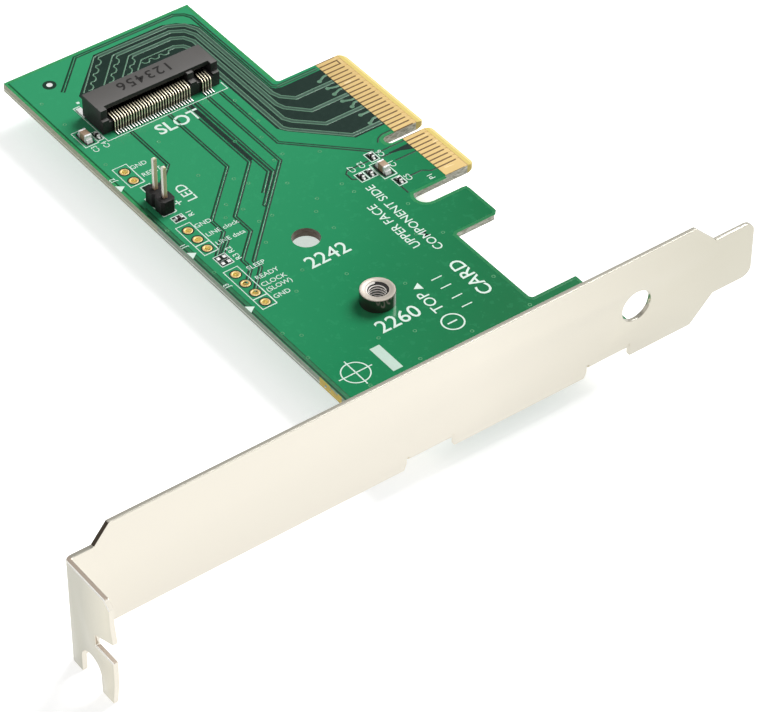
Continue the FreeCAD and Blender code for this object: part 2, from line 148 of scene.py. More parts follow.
class CardMetalLooks(bpy.types.PropertyGroup):
    gold: colour("Gold", "Plating of the edge contacts", tone(230, 198, 132))
    nickel: colour("Nickel", "Plating of the bracket", tone(246, 240, 226))
    tin: colour("Tin", "Tinned caps and solder", tone(246, 244, 240))
    contact: colour("Contact", "Socket contacts and pins", tone(250, 236, 206))
    edge_round: length("Edge round", "Rounding of the bracket's edges", 0.16)


class CardBlackLooks(bpy.types.PropertyGroup):
    plastic: colour("Plastic", "Sides of the socket moulding", tone(34, 32, 32))
    # the top colour is painted light on the socket moulding's upward faces
    plastic_top_painted_light: colour("Plastic top", "Top of the socket moulding", tone(92, 90, 88))
    header: colour("Header plastic", "Header moulding", tone(15, 14, 14))
    ceramic: colour("Ceramic", "Body of the large capacitors", tone(168, 142, 116))
    coating: colour("Coating", "Body of the small chips", tone(34, 28, 26))


class CardStageLooks(bpy.types.PropertyGroup):
    floor: colour("Floor", "Floor and backdrop", (0.9, 0.9, 0.9))
    sky: bpy.props.FloatProperty(name="Sky", description="Strength of the soft light all round",
                                 default=0.38, min=0.0)
    key: bpy.props.FloatProperty(name="Key", description="Power of the main soft light",
                                 default=8.6, min=0.0, unit="POWER")


# ---- material kit ----


class Socket:
    """A number in a material: a sum on it adds a Math node."""

    def __init__(self, kit, socket):
        self.kit = kit
        self.socket = socket

    def join(self, operation, first, second=0.0):
        return self.kit.number("ShaderNodeMath", {"operation": operation}, {0: first, 1: second})

    def __add__(self, other):
        return self.join("ADD", self, other)

    def __radd__(self, other):
        return self.join("ADD", other, self)

    def __sub__(self, other):
        return self.join("SUBTRACT", self, other)

    def __rsub__(self, other):
        return self.join("SUBTRACT", other, self)

    def __mul__(self, other):
        return self.join("MULTIPLY", self, other)

    def __truediv__(self, other):
        return self.join("DIVIDE", self, other)

    def __pow__(self, other):
        return self.join("POWER", self, other)

    def __abs__(self):
        return self.join("ABSOLUTE", self)

    def __gt__(self, other):
        return self.join("GREATER_THAN", self, other)

    def __lt__(self, other):
        return self.join("LESS_THAN", self, other)


class Kit:
    """The node tree of one material, or of the sky, and the ways its nodes are added."""

    def __init__(self, owner):
        owner.use_nodes = True
        self.owner = owner
        self.tree = owner.node_tree
        self.tree.nodes.clear()
        self.coordinates = self.node("ShaderNodeTexCoord").outputs

    def feed(self, socket, value):
        """Links a socket to an output, or sets its number, vector or colour."""
        if isinstance(value, Socket):
            value = value.socket
        if isinstance(value, bpy.types.NodeSocket):
            self.tree.links.new(value, socket)
        elif socket.type == "RGBA":
            socket.default_value = four(value)
        else:
            socket.default_value = value

    def node(self, kind, settings=None, inputs=None):
        """Any node: its type, its settings or a ramp's stops, and what goes into its sockets."""
        made = self.tree.nodes.new(kind)
        for key, value in (settings or {}).items():
            if key == "stops":
                ramp = made.color_ramp.elements
                while len(ramp) < len(value):
                    ramp.new(0.5)
                for element, (place, stop) in zip(ramp, value):
                    element.position = place
                    element.color = four(stop)
            else:
                setattr(made, key, value)
        for key, value in (inputs or {}).items():
            self.feed(made.inputs[key], value)
        return made

    def number(self, kind, settings=None, inputs=None, output=0):
        """Any node whose output is a number."""
        return Socket(self, self.node(kind, settings, inputs).outputs[output])

    def parts(self, vector):
        """The three numbers of a vector."""
        split = self.node("ShaderNodeSeparateXYZ", None, {0: vector})
        return [Socket(self, output) for output in split.outputs]

    def place(self):
        """Object coordinates as three numbers in millimetres."""
        return [part * (1 / MM) for part in self.parts(self.coordinates["Object"])]

    def facing(self):
        """The way a face points, as three numbers; pieces are never turned."""
        return self.parts(self.node("ShaderNodeNewGeometry").outputs["True Normal"])

    def noise(self, scale, detail=3.0, roughness=0.55, stretch=None):
        """A cloudy number about one half, with so many clouds to the metre."""
        vector = self.coordinates["Object"]
        if stretch:
            vector = self.node("ShaderNodeMapping", None,
                               {"Vector": vector, "Scale": stretch}).outputs[0]
        return self.number("ShaderNodeTexNoise", None,
                           {"Vector": vector, "Scale": scale, "Detail": detail,
                            "Roughness": roughness})

    def blend(self, amount, first, second):
        """The first colour where the amount is 0, and the second where it is 1."""
        made = self.node("ShaderNodeMix", {"data_type": "RGBA", "clamp_factor": True},
                         {0: amount, 6: first, 7: second})
        return made.outputs[2]

    def ramp(self, amount, stops):
        return self.node("ShaderNodeValToRGB", {"stops": stops}, {0: amount}).outputs[0]

    def bump(self, height, strength, millimetres):
        return self.node("ShaderNodeBump", None,
                         {"Height": height, "Strength": strength,
                          "Distance": millimetres * MM}).outputs[0]

    def finish(self, **inputs):
        """The shader: keyword words are its socket names with underscores for spaces."""
        named = {key.replace("_", " "): value for key, value in inputs.items()}
        shader = self.node("ShaderNodeBsdfPrincipled", None, named)
        self.node("ShaderNodeOutputMaterial", None, {0: shader.outputs[0]})
        return self.owner


def material(name):
    return Kit(bpy.data.materials.new(name))


def between(value, low, high):
    """1 where a number lies between two others, and 0 elsewhere."""
    return (value > low) * (value < high)


def away(x, y, centre):
    """Distance from an upright axis on the card, in millimetres."""
    east = x - centre[0]
    north = y - centre[1]
    return (east * east + north * north) ** 0.5


def painted_shade_and_sheen(x, y):
    """How much painted shade deepens the mask's green near the bracket; below nought it is
    painted sheen, paler away from the bracket.
    """
    return 0.674 - x * 0.0279 - y * 0.0393


# ---- finishes of the board ----


def mask_over_copper(kit, x, y, weave):
    looks = bpy.context.scene.card_board
    cloud = kit.noise(45.0, 2.0)
    painted_shade_share = painted_shade_and_sheen(x, y)
    # painted sheen makes the mask paler towards the far end and away from the bracket; painted
    # shade deepens it near the bracket
    painted_sheen_towards_far_end = (x + 45.0) / 92.0
    green = kit.blend(painted_sheen_towards_far_end, looks.mask, looks.mask_far)
    green = kit.blend(painted_shade_share * 0.85, green, tone(0, 104, 57))
    green = kit.blend(painted_shade_share * -0.52, green, tone(50, 152, 104))
    green = kit.blend(cloud * 0.16, green, shade(looks.mask_far, 1.25))
    threads = weave > 0.62
    return kit.blend(threads * 0.08, green, shade(looks.mask_far, 1.5))


def cut_laminate(kit, x, y, z, weave):
    """Fibres on the board's sides, in plies along the back, and brown in the module hole."""
    fibre = kit.noise(1500.0, 4.0, 0.75, (0.6, 0.6, 1.8))
    cut = kit.ramp(fibre, [(0.32, tone(122, 118, 102)), (0.46, tone(176, 174, 158)),
                           (0.58, tone(212, 210, 198)), (0.74, tone(240, 238, 230))])
    lower_ply = z < 0.34
    upper_ply = z > 0.62
    plies = kit.blend(lower_ply, tone(230, 238, 228), tone(160, 168, 156))
    plies = kit.blend(upper_ply, plies, tone(128, 152, 130))
    back = y > BACK - 0.1
    far_back = back * (x > 4.0)
    hole_wall = away(x, y, MODULE_HOLE) < 2.6
    resin = between(x, -43.2, -37.8) * (y > BACK - 1.0) * (weave > 0.40)
    cut = kit.blend(back * 0.78, cut, plies)
    cut = kit.blend(far_back * 0.35, cut, tone(196, 186, 140))
    cut = kit.blend(hole_wall * 0.75, cut, tone(96, 62, 44))
    return kit.blend(resin * 0.85, cut, tone(222, 190, 40))


def bevelled_laminate(kit, y, grain):
    laminate = bpy.context.scene.card_board.laminate
    tip = y < 0.55
    bevel = kit.blend(grain, shade(laminate, 0.9), laminate)
    return kit.blend(tip * 0.5, bevel, tone(232, 216, 152))


def bare_tongue(kit, y, grain):
    """The ground between and before the edge contacts."""
    gold = bpy.context.scene.card_metal.gold
    past_contact_ends = y > 2.05
    bevel = y < BEVEL_DEPTH
    gaps = kit.blend(grain, tone(88, 64, 34), tone(132, 100, 56))
    bare = kit.blend(past_contact_ends, kit.blend(grain, shade(gold, 0.9), gold), gaps)
    return kit.blend(bevel * 0.7, bare, tone(176, 138, 72))


# A cached finish is made when a piece first asks for it, and pieces share it afterwards.


@cache
def board_finish():
    kit = material("solder_mask_board")
    x, y, z = kit.place()
    weave = kit.noise(900.0, 2.0, 0.6)
    grain = kit.noise(2600.0, 2.0, 0.7)
    side = between(z, 0.02, TOP - 0.02)
    tongue = (y < TONGUE_DEPTH) * between(x, TONGUE_LEFT, TONGUE_RIGHT)
    flat = kit.blend(tongue, mask_over_copper(kit, x, y, weave), bare_tongue(kit, y, grain))
    rim = kit.blend(y > BEVEL_DEPTH, bevelled_laminate(kit, y, grain),
                    cut_laminate(kit, x, y, z, weave))
    return kit.finish(Base_Color=kit.blend(side, flat, rim),
                      Roughness=0.20 + side * 0.45 + tongue * 0.2 + weave * 0.04,
                      Normal=kit.bump(grain * 0.4 + weave * 0.6, 0.06, 0.04),
                      Coat_Weight=0.3, Coat_Roughness=0.06)


def mask_coat(kit, fine, base, rough):
    """The shader of all pieces of mask: a thin glossy coat on a finely rippled ground."""
    return kit.finish(Base_Color=base, Roughness=rough + fine * 0.1,
                      Normal=kit.bump(fine, 0.08, 0.03), Coat_Weight=0.3, Coat_Roughness=0.06)


def mask_finish(name, main, light, rough):
    kit = material(name)
    fine = kit.noise(1300.0)
    return mask_coat(kit, fine, kit.blend(fine, shade(main, 0.85), light), rough)


@cache
def bare_mask_finish():
    bare = bpy.context.scene.card_board.mask_bare
    return mask_finish("mask_without_copper", bare, shade(bare, 1.2), 0.2)


@cache
# dark mask without copper, deepened to near black as painted shade of the chips
def clearance_and_shade_finish():
    return mask_finish("mask_round_pads_and_shade", tone(14, 30, 24), tone(22, 44, 34), 0.24)


@cache
def bed_finish():
    bed = bpy.context.scene.card_board.bed
    return mask_finish("mask_between_traces", bed, shade(bed, 1.2), 0.24)


@cache
def border_finish():
    border = bpy.context.scene.card_board.border
    kit = material("mask_on_border")
    x, y, _ = kit.place()
    fine = kit.noise(1300.0)
    base = kit.blend(fine, shade(border, 0.85), shade(border, 1.3))
    # painted shade near the bracket, as on the rest of the mask
    base = kit.blend(painted_shade_and_sheen(x, y) * 0.8, base, tone(10, 118, 66))
    return mask_coat(kit, fine, base, 0.24)


@cache
def rim_finish():
    """A pale band along the back rim, with a deep groove beside it that runs on past its end."""
    kit = material("mask_on_rim")
    x, y, _ = kit.place()
    fine = kit.noise(1300.0)
    band = kit.blend(fine, tone(16, 100, 60), tone(54, 132, 90))
    groove = kit.blend(fine, tone(2, 78, 42), tone(16, 100, 58))
    on_band = (y > BACK - 0.86) * (x < RIM_BAND_END)
    base = kit.blend(on_band, groove, band)
    return mask_coat(kit, fine, base, 0.26)


@cache
def trace_finish():
    trace = bpy.context.scene.card_board.trace
    return mask_finish("mask_on_trace", trace, shade(trace, 1.15), 0.32)


@cache
def gap_finish():
    gap = bpy.context.scene.card_board.gap
    return mask_finish("mask_in_gap", gap, shade(gap, 1.2), 0.34)


@cache
def via_finish():
    return mask_finish("mask_on_via", tone(54, 144, 96), tone(112, 176, 128), 0.2)


@cache
def line_finish():
    looks = bpy.context.scene.card_board
    return mask_finish("mask_on_line", looks.mask, shade(looks.mask_far, 1.1), 0.24)


def ink_finish(name, dark, pale, rough):
    kit = material(name)
    fine = kit.noise(2400.0)
    return kit.finish(Base_Color=kit.blend(fine, dark, pale), Roughness=rough + fine * 0.1,
                      Normal=kit.bump(fine, 0.2, 0.02))


@cache
def printing_finish():
    white = bpy.context.scene.card_board.printing
    return ink_finish("legend_ink", shade(white, 0.86), white, 0.55)


@cache
def panel_finish():
    panel = bpy.context.scene.card_board.panel
    return ink_finish("thin_legend_ink", shade(panel, 0.92), shade(panel, 1.06), 0.5)


# ---- finishes of the metals ----


@cache
def gold_finish():
    gold = bpy.context.scene.card_metal.gold
    kit = material("gold_plating")
    _, y, z = kit.place()
    streak = kit.noise(1500.0, 3.0, 0.6, (1.0, 0.12, 1.0))
    cloud = kit.noise(240.0, 2.0)
    scratch_and_glint = streak > 0.66
    painted_light_barrel = (y > 40.0) * (z < TOP + 0.01)
    base = kit.blend(cloud, shade(gold, 0.94), shade(gold, 1.08))
    # scratches, painted paler as glints
    base = kit.blend(scratch_and_glint * 0.5, base, tone(255, 236, 190))
    # painted light: the shaded barrels of the holes are painted pale yellow
    base = kit.blend(painted_light_barrel, base, tone(255, 240, 176))
    return kit.finish(Base_Color=base, Metallic=0.35, Roughness=0.32 + streak * 0.14,
                      Normal=kit.bump(streak, 0.10, 0.03))


@cache
def nickel_finish():
    """Bright sheet with a duller cut rim, with painted shade towards the tail, on the foot and on
    the rim, darkest where the rim slants, and a painted highlight along the foot's crest.
    """
    nickel = bpy.context.scene.card_metal.nickel
    kit = material("bright_nickel")
    x, y, _ = kit.place()
    across, along, up = kit.facing()
    rolled = kit.noise(120.0, 5.0, 0.65, (1.0, 0.05, 1.0))
    fine = kit.noise(3200.0, 2.0, 0.6, (1.0, 0.2, 1.0))
    speck = kit.noise(650.0, 2.0, 0.5)
    foot = y > BRACKET_END - 0.05
    # painted shade: the sheet grows darker towards the tail
    painted_shade_towards_tail = (35.0 - y) / 45.0
    painted_light_towards_fork = (-61.0 - x) / 6.0
    base = kit.blend(rolled, shade(nickel, 0.97), shade(nickel, 1.02))
    base = kit.blend(painted_shade_towards_tail, base, tone(216, 212, 196))
    # painted shade on the foot, lighter towards the fork
    base = kit.blend(foot, base, kit.blend(painted_light_towards_fork, tone(202, 200, 187),
                                           tone(230, 225, 208)))
    base = kit.blend((speck > 0.76) * 0.25, base, shade(nickel, 0.72))
    sideways = abs(across) * (1.0 - foot) + abs(along) * foot
    level = up > 0.9
    rim = (sideways < 0.35) * (up > 0.3)
    # the cut rim: duller metal painted darker as shade, near black on slanted faces below y 60
    level_rim = kit.blend(y > BRACKET_END - 0.95, tone(182, 178, 165), tone(188, 173, 158))
    painted_shade_slanted_rim = kit.blend(y > 60.0, tone(184, 178, 164), tone(66, 58, 49))
    base = kit.blend(rim, base, kit.blend(level, painted_shade_slanted_rim, level_rim))
    # painted highlight: a near-white line along the foot's crest and its outer edge
    crest = (along > 0.3) * (up > 0.3) * (y > BRACKET_END - 0.65)
    crest = crest + (y > BRACKET_END - 0.23) * level * (1.0 - crest)
    base = kit.blend(crest, base, tone(255, 253, 246))
    return kit.finish(Base_Color=base, Metallic=0.92 - rim * level * 0.7 - crest * 0.2,
                      Roughness=0.20 + rolled * 0.10, Normal=kit.bump(fine, 0.04, 0.03))


@cache
def polished_finish():
    """Turned steel: painted dark reflection outside, a dull top face, and a thread with painted
    bright crests and painted shade in its roots, with a painted highlight on one side of its lip.
    """
    kit = material("polished_nickel")
    x, y, z = kit.place()
    across, along, _ = kit.facing()
    lathe = kit.noise(1400.0, 3.0, 0.6, (0.1, 0.1, 1.0))
    radius = away(x, y, STANDOFF)
    top_face = z > STANDOFF_TOP - 0.08
    bore = radius < 1.95
    # painted highlight on one side of the bore's lip
    painted_highlight_lip = bore * (radius > 1.53) * (across + along < -0.35)
    crest = radius < 1.36
    # the thread: painted highlights on its crests and painted shade in its roots
    thread = kit.blend(crest, tone(22, 15, 12), tone(255, 250, 244))
    # painted dark reflection on the outside
    base = kit.blend(lathe, tone(60, 55, 50), tone(112, 105, 98))
    base = kit.blend(bore, base, thread)
    base = kit.blend(painted_highlight_lip, base, tone(255, 252, 246))
    base = kit.blend(top_face, base, tone(198, 189, 177))
    return kit.finish(Base_Color=base, Metallic=1.0 - top_face * 0.6 - bore * 0.9,
                      Roughness=0.08 + top_face * 0.3 + lathe * 0.06,
                      Normal=kit.bump(lathe, 0.08, 0.03))


@cache
def tin_finish():
    tin = bpy.context.scene.card_metal.tin
    kit = material("dull_tin")
    grain = kit.noise(2200.0, 3.0, 0.6)
    base = kit.blend(grain, shade(tin, 0.86), shade(tin, 1.2))
    return kit.finish(Base_Color=base, Metallic=0.15, Roughness=0.22 + grain * 0.2,
                      Normal=kit.bump(grain, 0.35, 0.06))


@cache
def contact_finish():
    """Spring alloy: soldered feet, with painted shade on the flanks and under the socket's roof.
    """
    alloy = bpy.context.scene.card_metal.contact
    kit = material("contact_spring_alloy")
    x, _, z = kit.place()
    _, along, _ = kit.facing()
    fine = kit.noise(2600.0, 2.0, 0.5)
    soldered = z < TOP + 0.24
    ankle = between(z, TOP + 0.3, TOP + 0.95)
    painted_shade_flank = abs(along) > 0.6
    painted_shade_under_roof = (x - 28.2) / 0.5 * (x < 32.4)
    base = kit.blend(fine, shade(alloy, 0.9), shade(alloy, 1.1))
    base = kit.blend(ankle * 0.55, base, tone(70, 54, 44))
    base = kit.blend(soldered, base, tone(246, 246, 242))
    # painted shade on the flanks between neighbouring contacts
    base = kit.blend(painted_shade_flank * 0.92, base, tone(34, 26, 22))
    # painted shade under the socket's roof
    base = kit.blend(painted_shade_under_roof, base, tone(22, 15, 12))
    return kit.finish(Base_Color=base, Metallic=0.45, Roughness=0.24 + fine * 0.12,
                      Normal=kit.bump(fine, 0.08, 0.02))


@cache
def pin_finish():
    """Drawn pins with painted light: one side painted near white and another painted in tan
    shade; browner near the header block.
    """
    kit = material("header_pin_plating")
    _, _, z = kit.place()
    across, along, _ = kit.facing()
    drawn = kit.noise(900.0, 3.0, 0.6, (1.0, 1.0, 0.08))
    towards_block = (TOP + 3.6 - z) / 1.2
    base = kit.blend(drawn, tone(240, 232, 202), tone(255, 252, 240))
    # painted light and shade: one side of each pin tan, another near white
    base = kit.blend(across < -0.5, base, tone(206, 196, 160))
    base = kit.blend(along > 0.5, base, tone(255, 253, 242))
    base = kit.blend(towards_block, base, tone(186, 150, 120))
    return kit.finish(Base_Color=base, Metallic=0.15, Roughness=0.24 + drawn * 0.1,
                      Normal=kit.bump(drawn, 0.06, 0.02))


# ---- finishes of the dark parts ----


def moulding(name, main, top, gloss):
    """Matt plastic with painted light: its upward faces are painted paler than its sides."""
    kit = material(name)
    _, _, up = kit.facing()
    grain = kit.noise(3400.0, 4.0, 0.7)
    cloud = kit.noise(260.0, 2.0)
    base = kit.blend(cloud, shade(main, 0.85), shade(main, 1.15))
    # painted light on the upward faces
    base = kit.blend(up, base, kit.blend(cloud, shade(top, 0.9), shade(top, 1.1)))
    base = kit.blend((grain > 0.66) * 0.3, base, shade(top, 1.4))
    return kit.finish(Base_Color=base, Roughness=0.46 + grain * 0.12,
                      Specular_IOR_Level=gloss, Normal=kit.bump(grain, 0.35, 0.04))


@cache
def plastic_finish():
    looks = bpy.context.scene.card_black
    return moulding("socket_plastic", looks.plastic, looks.plastic_top_painted_light, 0.36)


@cache
def digit_shade_finish():
    # painted shade: the digits are painted near black, as shade in sunk digits
    sunk = shade(bpy.context.scene.card_black.plastic_top_painted_light, 0.24)
    return moulding("sunk_digits_painted_shade", sunk, sunk, 0.1)


@cache
def header_finish():
    header = bpy.context.scene.card_black.header
    # painted light makes the header's top paler than its sides
    return moulding("header_plastic", header, shade(header, 4.5), 0.2)


def grainy_finish(name, dark, pale, rough):
    kit = material(name)
    grain = kit.noise(2600.0, 3.0, 0.6)
    return kit.finish(Base_Color=kit.blend(grain, dark, pale), Roughness=rough + grain * 0.15,
                      Normal=kit.bump(grain, 0.2, 0.04))


@cache
def ceramic_finish():
    ceramic = bpy.context.scene.card_black.ceramic
    return grainy_finish("fired_ceramic", shade(ceramic, 0.75), shade(ceramic, 1.3), 0.42)


@cache
def coating_finish():
    coating = bpy.context.scene.card_black.coating
    return grainy_finish("dark_coating", shade(coating, 0.7), shade(coating, 1.6), 0.4)


# ---- modelling help ----

SUNK = 0.01  # how deep most thin pieces reach into the board
INK = 0.018  # how high the printing stands on it
INK_HALF = 0.006  # half the thickness of a printed letter
SIZE_OF_CAPITALS = 1.38  # size of the font whose capitals are one high


def clear():
    bpy.ops.object.select_all(action="DESELECT")


def only(piece):
    clear()
    piece.select_set(True)
    bpy.context.view_layer.objects.active = piece


@contextmanager
def editing(piece):
    """Edit mode on one piece, which starts with its whole mesh selected."""
    only(piece)
    bpy.ops.object.mode_set(mode="EDIT")
    bpy.ops.mesh.select_all(action="SELECT")
    yield
    bpy.ops.object.mode_set(mode="OBJECT")


def apply_place():
    bpy.ops.object.transform_apply(location=True, rotation=True, scale=True)


def paint(piece, finish):
    piece.data.materials.clear()
    piece.data.materials.append(finish)


def settle(piece, name, finish, replaced=()):
    """Names a finished piece, puts its place in its mesh, and hangs it on the card."""
    only(piece)
    apply_place()
    piece.name = name
    piece.data.name = name
    paint(piece, finish)
    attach(piece, "root")
    if replaced:
        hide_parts(*replaced)


def merge(pieces):
    clear()
    for piece in pieces:
        piece.select_set(True)
    bpy.context.view_layer.objects.active = pieces[0]
    if len(pieces) > 1:
        bpy.ops.object.join()
    return bpy.context.object


def chains(routes):
    """Open chains of vertices, each drawn from its first point by extruding."""
    clear()
    here = Vector(routes[0][0]) * MM
    bpy.ops.mesh.primitive_plane_add(size=MM, location=here)
    piece = bpy.context.object
    with editing(piece):
        bpy.ops.mesh.merge(type="CENTER")
        for index, route in enumerate(routes):
            start, *others = [Vector(point) * MM for point in route]
            if index:
                bpy.ops.mesh.duplicate_move(TRANSFORM_OT_translate={"value": start - here})
                here = start
            for point in others:
                step = {"value": point - here}
                bpy.ops.mesh.extrude_vertices_move(TRANSFORM_OT_translate=step)
                here = point
    return piece


def ridges(routes, width, height):
    """Low ridges on the board along routes of (x, y) points, sizes in millimetres."""
    only(chains([[(x, y, TOP) for x, y in route] for route in routes]))
    bpy.ops.object.convert(target="CURVE")
    line = bpy.context.object.data
    line.dimensions = "3D"
    line.twist_mode = "Z_UP"
    line.bevel_depth = width / 2 * MM
    line.bevel_resolution = 1
    line.use_fill_caps = True
    bpy.ops.object.convert(target="MESH")
    piece = bpy.context.object
    with editing(piece):
        bpy.ops.transform.resize(value=(1, 1, 2 * height / width),
                                 center_override=(0, 0, TOP * MM))
    return piece


def plates(outlines, rise, sunk=SUNK):
    """Thin plates from outlines of (x, y) points; each starts a little under the board's top."""
    pieces = []
    for outline in outlines:
        piece = chains([[(x, y, TOP - sunk) for x, y in outline]])
        with editing(piece):
            bpy.ops.mesh.edge_face_add()
            bpy.ops.mesh.extrude_region_move(
                TRANSFORM_OT_translate={"value": (0, 0, (sunk + rise) * MM)})
            bpy.ops.mesh.select_all(action="SELECT")
            bpy.ops.mesh.normals_make_consistent(inside=False)
        pieces.append(piece)
    return merge(pieces)


def turned(profile, x, y, steps):
    """A ring or post turned round an upright axis; the profile's points are (radius, z)."""
    closed = list(profile) + [profile[0]]
    piece = chains([[(x + radius, y, z) for radius, z in closed]])
    with editing(piece):
        bpy.ops.mesh.spin(steps=steps, angle=math.tau, center=(x * MM, y * MM, 0),
                          axis=(0, 0, 1))
        bpy.ops.mesh.select_all(action="SELECT")
        bpy.ops.mesh.remove_doubles(threshold=1e-6)
        bpy.ops.mesh.normals_make_consistent(inside=False)
    bpy.ops.object.shade_smooth_by_angle(angle=math.radians(35))
    return piece


def turned_at(places, profile, steps):
    """One turned shape at the first place, and a copy of it at each of the others."""
    (x0, y0), *others = places
    first = turned(profile, x0, y0, steps)
    pieces = [first]
    for x, y in others:
        only(first)
        bpy.ops.object.duplicate()
        copy = bpy.context.object
        copy.location = copy.location + Vector((x - x0, y - y0, 0)) * MM
        pieces.append(copy)
    return merge(pieces)


def ring(outer, inner, rise):
    """The profile of a flat ring on the board's top."""
    return [(outer, TOP - SUNK), (outer, TOP + rise), (inner, TOP + rise), (inner, TOP - SUNK)]


def softened(node, name, width, finish, segments=2, clamped=True):
    """A copy of a CAD node with its edges rounded, which stands for the node."""
    only(NODES[node])
    bpy.ops.object.duplicate()
    piece = bpy.context.object
    piece.parent = None
    # the frame's marks belong to the node and not to its copy
    for key in list(piece.keys()):
        if key.startswith("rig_"):
            del piece[key]
    with editing(piece):
        bpy.ops.mesh.remove_doubles(threshold=1e-7)
        bpy.ops.mesh.dissolve_limited(angle_limit=math.radians(0.5))
    bpy.ops.object.shade_smooth()
    bevel = piece.modifiers.new("Rounded edges", "BEVEL")
    bevel.width = width * MM
    bevel.segments = segments
    bevel.limit_method = "ANGLE"
    bevel.angle_limit = math.radians(40)
    bevel.harden_normals = True
    bevel.use_clamp_overlap = clamped
    bpy.ops.object.modifier_apply(modifier=bevel.name)
    settle(piece, name, finish, (node,))


def legend(words, x, y, height, turn, weight=0.005, level=TOP, spread=1.0):
    """Printed words with their middle at (x, y).

    The turn is in degrees, anticlockwise, and the weight thickens the strokes.
    """
    clear()
    bpy.ops.object.text_add(location=(x * MM, y * MM, (level + INK - INK_HALF) * MM),
                            rotation=(0, 0, math.radians(turn)))
    text = bpy.context.object.data
    text.body = words
    text.size = height * SIZE_OF_CAPITALS * MM
    text.align_x = "CENTER"
    text.align_y = "CENTER"
    text.extrude = INK_HALF * MM
    text.offset = height * weight * MM
    text.resolution_u = 3
    text.space_character = spread
    bpy.ops.object.convert(target="MESH")
    apply_place()
    return bpy.context.object


def rectangle(left, low, right, high):
    return [(left, low), (right, low), (right, high), (left, high)]


def arc(x, y, radius, start, end, steps=8):
    """Points on an arc, from one angle to another in degrees."""
    turn = [math.radians(start + (end - start) * i / steps) for i in range(steps + 1)]
    return [(x + radius * math.cos(angle), y + radius * math.sin(angle)) for angle in turn]


def beside(route, distance):
    """The same route moved sideways; its corners stay sharp, up to twice the distance away."""
    points = [Vector(point) for point in route]
    moved = []
    for i, here in enumerate(points):
        into = (here - points[i - 1]).normalized() if i else None
        out = (points[i + 1] - here).normalized() if i + 1 < len(points) else None
        into = into or out
        out = out or into
        side = Vector((-into.y - out.y, into.x + out.x)).normalized()
        reach = distance / max(0.5, side.dot(Vector((-into.y, into.x))))
        moved.append(tuple(here + side * reach))
    return moved


# how far along a bulge of a trace, and how far out, as shares of its length and swing
BULGE = ((0.22, 0), (0.34, 0.72), (0.5, 1), (0.72, 1), (0.88, 0.72), (1, 0))


def wave(start, end, count, swing):
    """A trace that bulges to one side again and again, to make it as long as its partner."""
    start = Vector(start)
    run = Vector(end) - start
    side = Vector((-run.y, run.x)).normalized() * swing
    points = [tuple(start)]
    for i in range(count):
        for along, out in BULGE:
            points.append(tuple(start + run * ((i + along) / count) + side * out))
    return points


def bead_lines(chips):
    """Two short lines for each chip part, one along each of its soldered ends."""
    lines = []
    for x, y, half_x, half_y, reach in chips:
        reach_x, reach_y = (0, reach) if half_x else (reach, 0)
        for end in (-1, 1):
            end_x = x + end * half_x
            end_y = y + end * half_y
            lines.append([(end_x - reach_x, end_y - reach_y), (end_x + reach_x, end_y + reach_y)])
    return lines


# ---- what lies on the board ----

SOCKET_DIGITS_X = 31.2
HEADER_Y = 44.88
HEADER_PITCH = 2.54


def header_row(first_x, count):
    """The holes of one header, from the first towards the bracket."""
    return [(first_x - i * HEADER_PITCH, HEADER_Y) for i in range(count)]


HEADER_HOLES = (header_row(-12.17, 4) + header_row(0.36, 3) + header_row(17.64, 2)
                + header_row(9.02, 2))

BARE_AREA = [(3.45, 5.65), (3.45, 11.3), (11.0, 18.95), (12.5, 19.9), (31.0, 19.9),
             (31.0, 40.2), (37.6, 40.2), (45.15, 32.6), (45.2, 19.4), (44.3, 17.2),
             (42.4, 15.2), (41.2, 14.7), (21.8, 14.7), (20.95, 14.2), (20.6, 13.2),
             (20.6, 5.65)]
BARE_BAND = [(25.4, 27.2), (25.4, 28.15), (8.2, 28.15), (8.2, 27.9), (8.6, 27.2)]
BARE_WEDGE = [(4.3, 26.2), (4.9, 26.6), (-1.6, 32.5), (-2.1, 32.1)]
BARE_SPOT = [(-4.05, 5.7), (-2.5, 5.7), (-2.55, 9.4), (-2.9, 9.4), (-3.2, 7.7)]
# plates inside the chip outlines: dark mask without copper, deepened as painted shade of the
# chips
CHIP_BACKS_AND_SHADE = [(-9.6, 43.5, -7.2, 45.4), (-9.85, 11.5, -8.1, 12.75), (-2.75, 11.5, -0.9, 12.75),
              (-5.8, 15.65, -4.0, 16.85), (-5.8, 14.05, -4.0, 15.25), (26.6, 43.0, 28.5, 43.8),
              (2.95, 43.6, 4.2, 45.25), (-7.1, 11.6, -3.55, 13.45), (26.4, 44.4, 29.9, 46.0),
              (10.7, 43.45, 12.95, 44.85)]

RIM_BAND = [(-56.2, 47.45), (RIM_BAND_END, 47.45)]
RIM_GROOVE = [(RIM_BAND_END, 47.42), (46.9, 47.42)]

LONE_TRACES = [
    [(25.4, 38.5), (15.2, 38.5), (9.02, 44.88)],
    [(25.4, 31.4), (9.4, 31.4), (0.1, 40.75), (-3.1, 40.75), (-7.1, 44.8)],
    [(-7.3, 43.9), (-5.1, 41.45), (-4.2, 41.45)],
    [(25.4, 28.0), (8.3, 28.0), (-1.1, 37.3), (-5.3, 37.3), (-10.1, 42.2), (-12.3, 42.2),
     (-14.8, 44.7)],
    [(25.4, 24.0), (5.8, 24.0), (-11.2, 40.9), (-13.0, 40.9), (-17.0, 44.8)],
    [(25.4, 26.95), (4.7, 26.95), (0.9, 30.6)],
    [(25.4, 26.35), (4.3, 26.35), (-1.6, 32.2)],
    [(25.4, 21.7), (9.6, 21.7), (-0.9, 11.0)],
    [(39.9, 41.7), (46.35, 35.3), (46.35, 16.4), (45.4, 14.9), (44.2, 14.25), (21.9, 14.25),
     (21.2, 13.6), (21.2, 6.0)],
]
